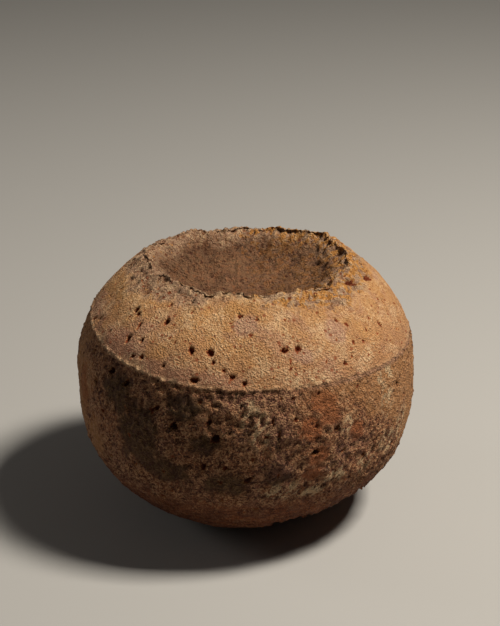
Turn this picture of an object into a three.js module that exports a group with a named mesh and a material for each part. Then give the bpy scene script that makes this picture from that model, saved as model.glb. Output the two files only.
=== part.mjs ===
// An aged ball of cheese, the kind that is turned out of a two-part round mould: a squat ball
// with a seam above its middle, a broad shallow hollow in its top and a small flat spot below.
// Millimetres, +Z up, front towards -Y, resting on Z = 0.

import * as THREE from 'three';

// ---- driving dimensions ----
const WIDTH = 190; // across the fullest part of the ball
const FULLEST_HEIGHT = 82; // of the fullest part, above the flat spot
const FOOT_RADIUS = 33; // the flat spot that the ball rests on
const SEAM_HEIGHT = 110; // of the mould seam, on average
const SEAM_STEP = 1; // how far the upper half's edge stands out over the lower half
const CROWN_HEIGHT = 153; // where the dome would close if it had no hollow
const RIM_RADIUS = 54; // of the hollow's rim, on average
const RIM_ROUNDING = 3; // the worn edge between the dome and the hollow
const HOLLOW_DEPTH = 16; // from the rim to the hollow's floor
const HOLLOW_WALL = 9; // the steep upper part of that depth

// ---- how the outline bulges ----
const BELLY_OUT = 2.05; // exponents of the lower half's superellipse, outwards
const BELLY_DOWN = 2.6; // and downwards
const DOME_OUT = 3.33; // exponents of the dome's superellipse, outwards
const DOME_UP = 1.91; // and upwards
const SHOULDER_REACH = 90; // half height of the ellipse between the fullest part and the seam

// ---- how far the ball is from true, each as waves round its axis ----
const SEAM_WAVES = [
  { turns: 1, size: 4.2, from: -95 },
  { turns: 2, size: 1.0, from: 83 },
  { turns: 3, size: 1.2, from: 26 },
];
const RIM_WAVES = [
  { turns: 1, size: 4.0, from: 153 },
  { turns: 3, size: 1.4, from: 20 },
];
const BODY_WAVES = [
  { turns: 2, size: 0.7, from: 35 },
  { turns: 3, size: 0.5, from: 100 },
];
const CREST_WAVES = [
  { turns: 2, size: 0.9, from: 100 },
  { turns: 3, size: 0.6, from: 0 },
];

// ---- fineness of the mesh ----
const SEGMENTS = 84; // round the axis
const BELLY_STEPS = 11; // from the flat spot to the fullest part
const SHOULDER_STEPS = 3; // from the fullest part to the seam
const DOME_STEPS = 9; // from the seam to the rim
const RIM_STEPS = 3; // over the rim's rounding
const BOWL_STEPS = 6; // from the foot of the hollow's wall to the axis

const radius = WIDTH / 2;
const { smoothstep, degToRad } = THREE.MathUtils;

// The other coordinate of a superellipse, as a fraction of its half axis.
const partner = (fraction, own, other) => (1 - fraction ** own) ** (1 / other);

// Dome height at a distance from the axis.
function domeHeight(distance) {
  const rise = CROWN_HEIGHT - FULLEST_HEIGHT;
  return FULLEST_HEIGHT + rise * partner(distance / radius, DOME_OUT, DOME_UP);
}

// Dome radius at a height, and the full radius below the fullest part.
function domeRadius(height) {
  const fraction = (height - FULLEST_HEIGHT) / (CROWN_HEIGHT - FULLEST_HEIGHT);
  return radius * partner(THREE.MathUtils.clamp(fraction, 0, 1), DOME_UP, DOME_OUT);
}

// Lower half: a superellipse from the edge of the flat spot to the fullest part, with its
// points evenly turned so that they crowd where it curves.
function bellyPoints() {
  const drop = FULLEST_HEIGHT / partner(FOOT_RADIUS / radius, BELLY_OUT, BELLY_DOWN);
  const start = Math.asin(FOOT_RADIUS / radius);
  return Array.from({ length: BELLY_STEPS + 1 }, (_, i) => {
    const turn = THREE.MathUtils.lerp(start, Math.PI / 2, i / BELLY_STEPS);
    const out = Math.sin(turn);
    return new THREE.Vector2(
      radius * out,
      Math.max(0, FULLEST_HEIGHT - drop * partner(out, BELLY_OUT, BELLY_DOWN)),
    );
  });
}

// Nearly upright stretch from the fullest part to the seam.
function shoulderPoints() {
  return Array.from({ length: SHOULDER_STEPS }, (_, i) => {
    const rise = ((SEAM_HEIGHT - FULLEST_HEIGHT) * (i + 1)) / SHOULDER_STEPS;
    return new THREE.Vector2(radius * partner(rise / SHOULDER_REACH, 2, 2), FULLEST_HEIGHT + rise);
  });
}

// Upper half, from its edge at the seam to where the rim starts to round over.
function domePoints(edge) {
  const bottom = edge.y + SEAM_STEP;
  const shift = edge.x + SEAM_STEP - domeRadius(bottom);
  const last = RIM_RADIUS + RIM_ROUNDING;
  return Array.from({ length: DOME_STEPS + 1 }, (_, i) => {
    const turn = Math.sin(((i / DOME_STEPS) * Math.PI) / 2);
    const distance = THREE.MathUtils.lerp(domeRadius(bottom), last, turn ** 1.5);
    return new THREE.Vector2(distance + shift * (1 - i / DOME_STEPS), domeHeight(distance));
  });
}

// Rounded rim, steep wall and dished floor of the hollow, which ends on the axis.
function hollowPoints() {
  const crest = domeHeight(RIM_RADIUS);
  const floor = crest - HOLLOW_DEPTH;
  const points = [];
  for (let i = 1; i <= RIM_STEPS; i++) {
    const turn = ((i / RIM_STEPS) * Math.PI) / 2;
    const inwards = RIM_RADIUS + RIM_ROUNDING * (1 - 2 * Math.sin(turn));
    points.push(new THREE.Vector2(inwards, crest - RIM_ROUNDING * (1 - Math.cos(turn))));
  }
  const wallRadius = points.at(-1).x;
  const bowlRadius = wallRadius - HOLLOW_WALL / 2;
  const bowlRise = HOLLOW_DEPTH - HOLLOW_WALL;
  for (let i = 0; i <= BOWL_STEPS; i++) {
    const out = 1 - i / BOWL_STEPS;
    points.push(new THREE.Vector2(bowlRadius * out, floor + bowlRise * out ** 3));
  }
  return points;
}

function profile() {
  const belly = bellyPoints();
  const shoulder = shoulderPoints();
  const outside = [new THREE.Vector2(0, 0), ...belly, ...shoulder];
  return [...outside, ...domePoints(shoulder.at(-1)), ...hollowPoints()];
}

// Sum of waves at an angle round the axis, which is measured from the front towards +X.
const waves = (list, angle) =>
  list.reduce((sum, w) => sum + w.size * Math.cos(w.turns * (angle - degToRad(w.from))), 0);

// Takes the turned shape out of true: the body bulges, the rim wanders and rises, and the seam
// runs down towards +X, and wavers, by sliding along the outline.
function takeOutOfTrue(geometry) {
  const position = geometry.getAttribute('position');
  for (let i = 0; i < position.count; i++) {
    const x = position.getX(i);
    const y = position.getY(i);
    const z = position.getZ(i);
    const distance = Math.hypot(x, y);
    const angle = Math.atan2(x, -y);
    const onTop = z > SEAM_HEIGHT ? 1 - smoothstep(distance, RIM_RADIUS, radius) : 0;
    const nearSeam = smoothstep(z, FULLEST_HEIGHT, SEAM_HEIGHT) * (1 - onTop);
    const slide = waves(SEAM_WAVES, angle) * nearSeam;
    const bulge = waves(BODY_WAVES, angle) * smoothstep(distance, FOOT_RADIUS, radius);
    const wander = (waves(RIM_WAVES, angle) * onTop * Math.min(distance, RIM_RADIUS)) / RIM_RADIUS;
    const outwards = bulge + wander + domeRadius(z + slide) - domeRadius(z);
    const stretch = distance > 0 ? 1 + outwards / distance : 1;
    const nearRim = onTop * smoothstep(distance, RIM_RADIUS / 2, RIM_RADIUS);
    const rise = waves(CREST_WAVES, angle) * nearRim;
    position.setXYZ(i, x * stretch, y * stretch, z + slide + rise);
  }
}

function cheeseBall() {
  const geometry = new THREE.LatheGeometry(profile(), SEGMENTS);
  geometry.rotateX(Math.PI / 2);
  takeOutOfTrue(geometry);
  geometry.computeBoundingBox();
  const { min, max } = geometry.boundingBox;
  geometry.translate(-(min.x + max.x) / 2, -(min.y + max.y) / 2, -min.z);
  geometry.computeVertexNormals();
  const rind = new THREE.MeshStandardMaterial({ color: 0x9c6b3f, roughness: 0.92, metalness: 0 });
  const mesh = new THREE.Mesh(geometry, rind);
  mesh.name = 'cheese_ball';
  return mesh;
}

const cheese = new THREE.Group();
cheese.add(cheeseBall());

export default cheese;
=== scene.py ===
"""An aged ball of cheese, dressed round its frame.

The ball is one surface, worked out in millimetres on a ball of nominal width and then brought to
the frame's size. Two parameters place every point: its distance along the ball's outline, from the
middle of the flat spot up over the dome to the middle of the hollow, and its bearing round the
axis, measured from the front (-Y) towards +X.
"""

from __future__ import annotations

import logging
import math
from dataclasses import dataclass, field, replace
from enum import Enum

import bpy
import numpy as np
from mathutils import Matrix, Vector

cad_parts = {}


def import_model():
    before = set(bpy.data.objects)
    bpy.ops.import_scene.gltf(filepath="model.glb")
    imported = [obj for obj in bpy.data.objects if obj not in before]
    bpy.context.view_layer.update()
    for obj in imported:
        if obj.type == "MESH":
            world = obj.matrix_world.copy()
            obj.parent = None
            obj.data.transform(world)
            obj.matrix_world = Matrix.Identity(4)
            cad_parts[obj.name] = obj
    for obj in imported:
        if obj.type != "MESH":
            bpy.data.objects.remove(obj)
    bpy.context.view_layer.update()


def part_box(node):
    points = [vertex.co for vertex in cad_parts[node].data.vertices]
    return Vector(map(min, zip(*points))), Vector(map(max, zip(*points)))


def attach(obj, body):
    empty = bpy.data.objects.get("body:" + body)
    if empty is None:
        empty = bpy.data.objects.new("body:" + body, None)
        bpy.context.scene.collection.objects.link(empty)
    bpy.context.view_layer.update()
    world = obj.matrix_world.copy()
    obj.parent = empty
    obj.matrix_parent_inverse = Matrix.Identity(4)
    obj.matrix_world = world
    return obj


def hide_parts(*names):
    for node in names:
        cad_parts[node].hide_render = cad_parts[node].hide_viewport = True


LOG = logging.getLogger("cheese")
NODE = "cheese_ball"
BODY = "root"
NOMINAL_WIDTH = 190.0  # mm across the ball that all lengths below are given for
MM = 0.001


def smooth(low: float, high: float, value: np.ndarray) -> np.ndarray:
    """Rises from 0 at low to 1 at high along 3t^2 - 2t^3.

    Args:
        low: Where the rise starts.
        high: Where it ends, which may be below low for a fall.
        value: The numbers to map.

    Returns:
        Numbers from 0 to 1.
    """
    part = np.clip((value - low) / (high - low), 0.0, 1.0)
    return part * part * (3.0 - 2.0 * part)


def bell(value: np.ndarray, width: float) -> np.ndarray:
    """exp(-(value / width)^2), a bump of 1 at zero."""
    return np.exp(-((value / width) ** 2))


def from_front(bearing: np.ndarray) -> np.ndarray:
    """The bearing as a number from -pi to pi."""
    return np.angle(np.exp(1j * bearing))


class SpaceNoise:
    """Repeatable noise in space, from a lattice of random directions."""

    TABLE = 256
    FULL_SCALE = 1.6  # brings the blended corners to about -1 to 1
    OCTAVE_SHIFT = 17.3  # keeps one octave's lattice off the next one's
    CREASE_SHIFT = 31.7

    def __init__(self, seed: int) -> None:
        """Draws the lattice.

        Args:
            seed: Makes the same noise every time.
        """
        rng = np.random.default_rng(seed)
        self.order = rng.permutation(self.TABLE)
        arrows = rng.normal(size=(self.TABLE, 3))
        self.arrows = arrows / np.linalg.norm(arrows, axis=1, keepdims=True)
        self.spots = rng.random((self.TABLE, 3))

    def corner(self, cell: np.ndarray) -> np.ndarray:
        """Looks up the random table entry of each lattice cell.

        Args:
            cell: Whole lattice coordinates, one row each.

        Returns:
            An entry number from 0 to 255 for each row.
        """
        mask = self.TABLE - 1
        found = self.order[cell[:, 0] & mask]
        found = self.order[(found + cell[:, 1]) & mask]
        return self.order[(found + cell[:, 2]) & mask]

    def waves(self, points: np.ndarray, size: float) -> np.ndarray:
        """Gradient noise: each corner's direction dotted with the way to it, blended by a quintic.

        Args:
            points: Places, one row each.
            size: Length of a lattice cell.

        Returns:
            About -1 to 1 for each place.
        """
        at = points / size
        cell = np.floor(at).astype(np.int64)
        part = at - cell
        fade = part**3 * (part * (part * 6.0 - 15.0) + 10.0)
        total = np.zeros(len(points))
        for corner in np.ndindex(2, 2, 2):
            step = np.array(corner)
            arrow = self.arrows[self.corner(cell + step)]
            weight = np.prod(np.where(step == 1, fade, 1.0 - fade), axis=1)
            total += weight * np.einsum("ij,ij->i", arrow, part - step)
        return total * self.FULL_SCALE

    def fractal(self, points: np.ndarray, size: float, octaves: int, gain: float = 0.5) -> np.ndarray:
        """Sum of waves, each octave half the size and gain times the height of the one before.

        Args:
            points: Places, one row each.
            size: Lattice cell of the first octave.
            octaves: How many there are.
            gain: Height of an octave as a share of the one before.

        Returns:
            The sum for each place.
        """
        total, height = np.zeros(len(points)), 1.0
        for octave in range(octaves):
            shifted = points + self.OCTAVE_SHIFT * octave
            total += height * self.waves(shifted, size / 2.0**octave)
            height *= gain
        return total

    def creases(self, points: np.ndarray, size: float, octaves: int) -> np.ndarray:
        """Sum of 1 - |waves|, each octave half the size and half the height of the one before.

        Args:
            points: Places, one row each.
            size: Lattice cell of the first octave.
            octaves: How many there are.

        Returns:
            For each place 1 along crooked lines, and less between them.
        """
        total, height, most = np.zeros(len(points)), 1.0, 0.0
        for octave in range(octaves):
            shifted = points + self.CREASE_SHIFT * octave
            total += height * (1.0 - np.abs(self.waves(shifted, size / 2.0**octave)))
            most += height
            height *= 0.5
        return total / most

    def lumps(self, points: np.ndarray, size: float) -> tuple[np.ndarray, np.ndarray]:
        """Cells round random spots, one spot in each lattice cell.

        Args:
            points: Places, one row each.
            size: Length of a lattice cell.

        Returns:
            The distance to the nearest spot in cells, and that spot's own random number.
        """
        at = points / size
        cell = np.floor(at).astype(np.int64)
        near = np.full(len(points), np.inf)
        owner = np.zeros(len(points))
        for corner in np.ndindex(3, 3, 3):
            there = cell + np.array(corner) - 1
            entry = self.corner(there)
            gap = np.linalg.norm(there + self.spots[entry] - at, axis=1)
            closer = gap < near
            near = np.where(closer, gap, near)
            owner = np.where(closer, self.spots[entry, 0], owner)
        return near, owner


@dataclass(frozen=True)
class Wave:
    """One wave round the axis: turns crests, size high, the first one at bearing start."""

    turns: int
    size: float
    start: float

    def at(self, bearing: np.ndarray) -> np.ndarray:
        """size * cos(turns * (bearing - start))."""
        return self.size * np.cos(self.turns * (bearing - math.radians(self.start)))


def waves_at(waves: tuple[Wave, ...], bearing: np.ndarray) -> np.ndarray:
    """Sum of several waves at each bearing."""
    return sum((wave.at(bearing) for wave in waves), np.zeros_like(bearing))


@dataclass
class BallOutline:
    """The ball's smooth shape, before its rind is roughened. Lengths are millimetres.

    The lower half is a superellipse from the flat spot to the fullest part, and the upper half is
    another up to the rim. The mould seam wanders up and down by sliding along the outline, less
    and less up to its reach above and below.
    """

    radius: float = NOMINAL_WIDTH / 2.0
    foot: float = 33.0
    fullest: float = 82.0
    crown: float = 153.0
    seam_height: float = 110.0
    seam_reach: float = 36.0
    rim: float = 54.0
    depth: float = 16.0
    belly_out: float = 2.05
    belly_down: float = 2.6
    dome_out: float = 3.33
    dome_up: float = 1.91
    body_waves: tuple[Wave, ...] = (Wave(2, 0.7, 35.0), Wave(3, 0.5, 100.0))
    rim_waves: tuple[Wave, ...] = (
        Wave(1, 5.2, 153.0),
        Wave(2, 1.2, 63.0),
        Wave(3, 1.4, 20.0),
        Wave(9, 0.9, 12.0),
        Wave(14, 0.7, 3.0),
        Wave(23, 0.5, 8.0),
    )
    crest_waves: tuple[Wave, ...] = (Wave(2, 0.9, 100.0), Wave(3, 0.6, 0.0))
    seam_waves: tuple[Wave, ...] = (Wave(1, 4.2, -95.0), Wave(2, 1.0, 83.0), Wave(3, 1.2, 26.0))
    samples: int = 900
    along: np.ndarray = field(init=False, repr=False)
    out: np.ndarray = field(init=False, repr=False)
    up: np.ndarray = field(init=False, repr=False)

    def __post_init__(self) -> None:
        """Lays out the outline up to the rim and measures the distance along it."""
        drop = self.fullest / self.partner(self.foot / self.radius, self.belly_out, self.belly_down)
        turn = np.linspace(math.asin(self.foot / self.radius), math.pi / 2.0, self.samples)
        belly = self.radius * np.sin(turn)
        belly_up = self.fullest - drop * self.partner(np.sin(turn), self.belly_out, self.belly_down)
        turn = np.linspace(math.pi / 2.0, math.asin(self.rim / self.radius), self.samples)
        dome = self.radius * np.sin(turn)
        self.out = np.concatenate([[0.0], belly, dome[1:]])
        self.up = np.concatenate([[0.0], np.maximum(belly_up, 0.0), self.dome_height(dome[1:])])
        steps = np.hypot(np.diff(self.out), np.diff(self.up))
        self.along = np.concatenate([[0.0], np.cumsum(steps)])

    @staticmethod
    def partner(fraction: np.ndarray, own: float, other: float) -> np.ndarray:
        """The other coordinate of a superellipse: (1 - fraction^own)^(1 / other)."""
        return (1.0 - np.clip(fraction, 0.0, 1.0) ** own) ** (1.0 / other)

    def dome_height(self, out: np.ndarray) -> np.ndarray:
        """Height of the dome at a distance from the axis."""
        rise = self.crown - self.fullest
        return self.fullest + rise * self.partner(out / self.radius, self.dome_out, self.dome_up)

    @property
    def rim_along(self) -> float:
        """Distance along the outline to the rim of the hollow."""
        return float(self.along[-1])

    @property
    def end_along(self) -> float:
        """Distance along the outline to the middle of the hollow, measured level past the rim."""
        return self.rim_along + self.rim

    def along_at(self, height: float) -> float:
        """Distance along the outline at a height below the rim."""
        outside = self.along > self.foot
        return float(np.interp(height, self.up[outside], self.along[outside]))

    @property
    def seam_along(self) -> float:
        """Distance along the outline to the seam, before its waves shift it."""
        return self.along_at(self.seam_height)

    def steepness(self, bearing: np.ndarray) -> np.ndarray:
        """How steep the hollow's wall is.

        Args:
            bearing: Angle round the axis from the front towards +X.

        Returns:
            1 at the front lip, about a third at the back, and 0 at the sides.
        """
        front = bell(from_front(bearing + 0.05), 0.5)
        back = 0.35 * bell(from_front(bearing - 2.6), 0.6)
        return np.maximum(front, back)

    def place(self, along: np.ndarray, bearing: np.ndarray) -> np.ndarray:
        """Points of the smooth surface.

        Up to the rim, the radius and the height are read off the outline, along which the seam
        slides by its waves. Past the rim, w goes from 0 at the rim to 1 in the middle, and the
        floor lies below the crest by the depth times a blend of two dishes. The gentle one is
        1 - (1 - w)^2.6. The steep one is 0.55 of a lip, 1 - exp(-w / 0.05), and 0.45 of a bowl,
        1 - (1 - w)^2. Waves round the axis take it all out of true.

        Args:
            along: Distance along the outline, with the seam at one distance all round.
            bearing: Angle round the axis from the front towards +X.

        Returns:
            One row of x, y, z for each pair.
        """
        slide = waves_at(self.seam_waves, bearing)
        near = np.clip(np.abs(along - self.seam_along) / self.seam_reach, 0.0, 1.0)
        shifted = np.minimum(along + slide * (0.5 + 0.5 * np.cos(math.pi * near)), self.rim_along)
        shifted = np.where(along > self.rim_along, self.rim_along, shifted)
        out = np.interp(shifted, self.along, self.out)
        up = np.interp(shifted, self.along, self.up)
        inwards = np.clip((along - self.rim_along) / self.rim, 0.0, 1.0)
        out = out * (1.0 - inwards)
        lip, bowl = 1.0 - np.exp(-inwards / 0.05), 1.0 - (1.0 - inwards) ** 2
        steep = 0.55 * lip + 0.45 * bowl
        gentle = 1.0 - (1.0 - inwards) ** 2.6
        share = self.steepness(bearing)
        up = up - self.depth * (share * steep + (1.0 - share) * gentle)
        on_top = smooth(self.radius, self.rim, out) * (along > self.seam_along)
        bulge = waves_at(self.body_waves, bearing) * smooth(self.foot, self.radius, out)
        wander = waves_at(self.rim_waves, bearing) * on_top * np.minimum(out, self.rim) / self.rim
        lift = waves_at(self.crest_waves, bearing) * on_top * smooth(self.rim / 2.0, self.rim, out)
        reach = out + bulge + wander
        return np.stack([reach * np.sin(bearing), -reach * np.cos(bearing), up + lift], axis=1)


@dataclass
class RingGrid:
    """Rings of points round the axis, close together where the shape needs it.

    A ring has the full count of columns, or a half to a sixteenth of it near the axis, so that its
    cells stay about as wide as they are tall. The full count divides by sixteen. Each end is one
    point.
    """

    outline: BallOutline
    columns: int = 544
    halvings: int = 4
    spacing: float = 1.38
    seam_crowding: float = 0.62
    rim_crowding: float = 0.42
    foot_loosening: float = 3.0
    hollow_loosening: float = 1.4
    narrowest: float = 0.5

    def gap(self, along: np.ndarray) -> np.ndarray:
        """Distance between rings: the usual spacing, less at the seam and the rim.

        It is multiplied by 1 - crowding at the middle of each of the two, and the loosening is
        added on the flat spot and in the middle of the hollow.

        Args:
            along: Distance along the outline.

        Returns:
            The gap there in millimetres.
        """
        line = self.outline
        gap = np.full_like(along, self.spacing)
        gap *= 1.0 - self.seam_crowding * bell(along - line.seam_along + 0.8, 3.2)
        gap *= 1.0 - self.rim_crowding * bell(along - line.rim_along - 3.0, 9.0)
        gap += self.foot_loosening * smooth(line.foot - 4.0, line.foot - 12.0, along)
        return gap + self.hollow_loosening * smooth(line.rim_along + 24.0, line.end_along, along)

    def rings(self) -> np.ndarray:
        """Places the rings where the running sum of 1 / gap passes whole numbers.

        Returns:
            Distance along the outline of each ring, from one end to the other.
        """
        fine = np.linspace(0.0, self.outline.end_along, 6000)
        count = np.concatenate([[0.0], np.cumsum(np.diff(fine) / self.gap(fine[1:]))])
        whole = int(round(count[-1]))
        return np.interp(np.arange(whole + 1) * count[-1] / whole, count, fine)

    def ring_counts(self, rings: np.ndarray) -> np.ndarray:
        """Number of columns in each ring, halved each time the ring's radius halves.

        Args:
            rings: Distance along the outline of each ring.

        Returns:
            The counts, with neighbours no more than twice apart, and one at each end.
        """
        line = self.outline
        inwards = np.clip((line.end_along - rings) / line.rim, 0.0, 1.0)
        out = np.interp(rings, line.along, line.out) * inwards
        share = np.maximum(out / line.radius, 1e-6)
        halvings = np.floor(np.log2(self.narrowest / share)) + 1.0
        halvings = np.clip(halvings, 0.0, self.halvings).astype(int)
        inner = slice(1, -1)
        for _ in range(self.halvings):
            lower = np.minimum(halvings[:-2], halvings[2:]) + 1
            halvings[inner] = np.minimum(halvings[inner], lower)
        counts = self.columns >> halvings
        counts[[0, -1]] = 1
        return counts

    def build(self) -> tuple[np.ndarray, np.ndarray, np.ndarray]:
        """Lays out the grid.

        Returns:
            Each point's distance along the outline, its bearing, and the triangles.
        """
        rings = self.rings()
        counts = self.ring_counts(rings)
        starts = np.concatenate([[0], np.cumsum(counts)[:-1]])
        along = np.repeat(rings, counts)
        column = np.arange(counts.sum()) - np.repeat(starts, counts)
        bearing = 2.0 * math.pi * column / np.repeat(counts, counts)
        strips = [
            self.strip(starts[i], counts[i], starts[i + 1], counts[i + 1]) for i in range(len(rings) - 1)
        ]
        return along, bearing, np.concatenate(strips)

    @staticmethod
    def strip(low: int, low_count: int, high: int, high_count: int) -> np.ndarray:
        """Triangles between two rings, facing outwards.

        Args:
            low: First point of the ring nearer the foot.
            low_count: Its number of points.
            high: First point of the next ring.
            high_count: Its number of points, the same, twice as many, half as many, or one.

        Returns:
            One row of three point numbers for each triangle.
        """
        span = max(low_count, high_count)
        j = np.arange(span)
        nxt = (j + 1) % span
        if low_count == 1:
            return np.stack([np.full(span, low), high + nxt, high + j], axis=1)
        if high_count == 1:
            return np.stack([low + j, low + nxt, np.full(span, high)], axis=1)
        if low_count == high_count:
            first = np.stack([low + j, low + nxt, high + nxt], axis=1)
            second = np.stack([low + j, high + nxt, high + j], axis=1)
            return np.concatenate([first, second])
        half = np.arange(span // 2)
        far = (half + 1) % (span // 2)
        near_fine, mid_fine, far_fine = 2 * half, 2 * half + 1, (2 * half + 2) % span
        if low_count > high_count:
            groups = (
                (low + near_fine, low + mid_fine, high + half),
                (low + mid_fine, high + far, high + half),
                (low + mid_fine, low + far_fine, high + far),
            )
        else:
            groups = (
                (low + half, low + far, high + mid_fine),
                (low + half, high + mid_fine, high + near_fine),
                (low + far, high + far_fine, high + mid_fine),
            )
        return np.concatenate([np.stack(group, axis=1) for group in groups])


def point_normals(points: np.ndarray, triangles: np.ndarray) -> np.ndarray:
    """Normal at each point: the sum of its triangles' cross products, brought to length 1.

    Args:
        points: One row of x, y, z for each.
        triangles: One row of three point numbers for each.

    Returns:
        One row for each point.
    """
    corners = points[triangles]
    facing = np.cross(corners[:, 1] - corners[:, 0], corners[:, 2] - corners[:, 0])
    total = np.zeros_like(points)
    for k in range(3):
        for axis in range(3):
            total[:, axis] += np.bincount(triangles[:, k], facing[:, axis], len(points))
    return total / np.maximum(np.linalg.norm(total, axis=1, keepdims=True), 1e-12)


class Stain(Enum):
    """Kinds of stain on the rind. The value names the mask that holds it."""

    RUST = "rust"
    LILAC = "lilac"
    FROST = "frost"
    OLIVE_AND_SHADE = "olive"
    BLUSH = "blush"
    TAN = "tan"


@dataclass(frozen=True)
class Spread:
    """Where one stain lies: a bearing in degrees, a height, and half its width and its height."""

    bearing: float
    height: float
    wide: float
    tall: float


@dataclass(frozen=True)
class StainMap:
    """The stains by kind, most of them in front and some round the back.

    raggedness is how far the noise pushes a stain's border, and grain is the size of its largest
    bays in millimetres.
    """

    raggedness: float = 0.3
    grain: float = 11.0
    spreads: dict[Stain, tuple[Spread, ...]] = field(
        default_factory=lambda: {
            Stain.RUST: (
                Spread(27, 99, 10, 8),
                Spread(21, 86, 8, 9),
                Spread(29, 92, 7, 8),
                Spread(24, 69, 7, 9),
                Spread(22, 59, 7, 5),
                Spread(39, 77, 6, 8),
                Spread(-70, 84, 12, 14),
                Spread(100, 92, 13, 9),
                Spread(150, 72, 17, 15),
                Spread(-125, 82, 17, 14),
                Spread(-168, 58, 16, 12),
            ),
            Stain.LILAC: (
                Spread(10, 87, 8, 10),
                Spread(34, 67, 7, 8),
                Spread(11, 64, 9, 6),
                Spread(0, 104, 30, 5),
                Spread(0, 136, 8, 5),
                Spread(38, 130, 9, 6),
                Spread(20, 123, 9, 4),
                Spread(120, 84, 15, 13),
                Spread(178, 82, 16, 14),
                Spread(-150, 96, 15, 10),
                Spread(140, 129, 14, 7),
                Spread(-110, 128, 15, 7),
            ),
            Stain.FROST: (
                Spread(54, 88, 8, 11),
                Spread(65, 68, 9, 14),
                Spread(55, 62, 9, 9),
                Spread(44, 57, 9, 7),
                Spread(32, 55, 9, 6),
                Spread(35, 82, 4, 9),
                Spread(2, 94, 7, 12),
                Spread(19, 47, 15, 5),
                Spread(54, 101, 9, 5),
                Spread(24, 112, 17, 5),
                Spread(49, 115, 13, 5),
                Spread(5, 88, 6, 11),
                Spread(15, 49, 17, 6),
                Spread(-100, 72, 13, 19),
                Spread(-140, 60, 13, 12),
                Spread(135, 113, 17, 7),
                Spread(165, 92, 13, 15),
            ),
            Stain.OLIVE_AND_SHADE: (
                # The large near-black patches on the front-left are partly painted shade.
                Spread(-36, 76, 19, 22),
                Spread(-46, 94, 14, 13),
                Spread(-19, 98, 13, 8),
                Spread(-13, 80, 10, 9),
                Spread(-27, 60, 22, 10),
                Spread(-7, 55, 14, 9),
                Spread(10, 60, 10, 7),
                Spread(110, 60, 20, 13),
                Spread(-175, 102, 17, 8),
                Spread(-115, 100, 13, 9),
            ),
            Stain.TAN: (
                Spread(58, 92, 26, 24),
                Spread(76, 74, 24, 40),
                Spread(-78, 84, 26, 40),
                Spread(-64, 58, 12, 16),
                Spread(-88, 110, 20, 14),
                Spread(130, 86, 24, 16),
                Spread(-150, 68, 18, 16),
                Spread(175, 60, 16, 12),
            ),
            Stain.BLUSH: (
                Spread(-24, 113, 24, 5),
                Spread(-5, 113, 15, 4),
                Spread(-52, 119, 18, 7),
                Spread(100, 113, 15, 6),
                Spread(160, 117, 26, 7),
                Spread(-130, 117, 22, 7),
            ),
        }
    )

    def masks(self, points: np.ndarray, bearing: np.ndarray, noise: SpaceNoise) -> dict[str, np.ndarray]:
        """Share of each stain at each point.

        A stain's closeness is exp(-(side / wide)^2 - (rise / tall)^2). With fractal noise added,
        the mask rises from 0 to 1 as that goes from 0.3 to 0.75, so its border is ragged.

        Args:
            points: The smooth surface.
            bearing: Its bearings.
            noise: For the borders.

        Returns:
            The masks by the stains' names.
        """
        out = np.hypot(points[:, 0], points[:, 1])
        made: dict[str, np.ndarray] = {}
        for shift, (stain, spreads) in enumerate(self.spreads.items()):
            close = np.zeros(len(points))
            for spread in spreads:
                side = from_front(bearing - math.radians(spread.bearing)) * out / spread.wide
                rise = (points[:, 2] - spread.height) / spread.tall
                close = np.maximum(close, np.exp(-(side**2) - rise**2))
            ragged = noise.fractal(points + 70.0 * (shift + 1), self.grain, 4, 0.62)
            made[stain.value] = smooth(0.3, 0.75, close + self.raggedness * ragged)
        return made


@dataclass(frozen=True)
class Pit:
    """A hole in the rind. Its place is a bearing in degrees and a height, its sizes millimetres."""

    bearing: float
    height: float
    radius: float
    depth: float
    stretch: float = 1.0
    turn: float = 0.0


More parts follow.
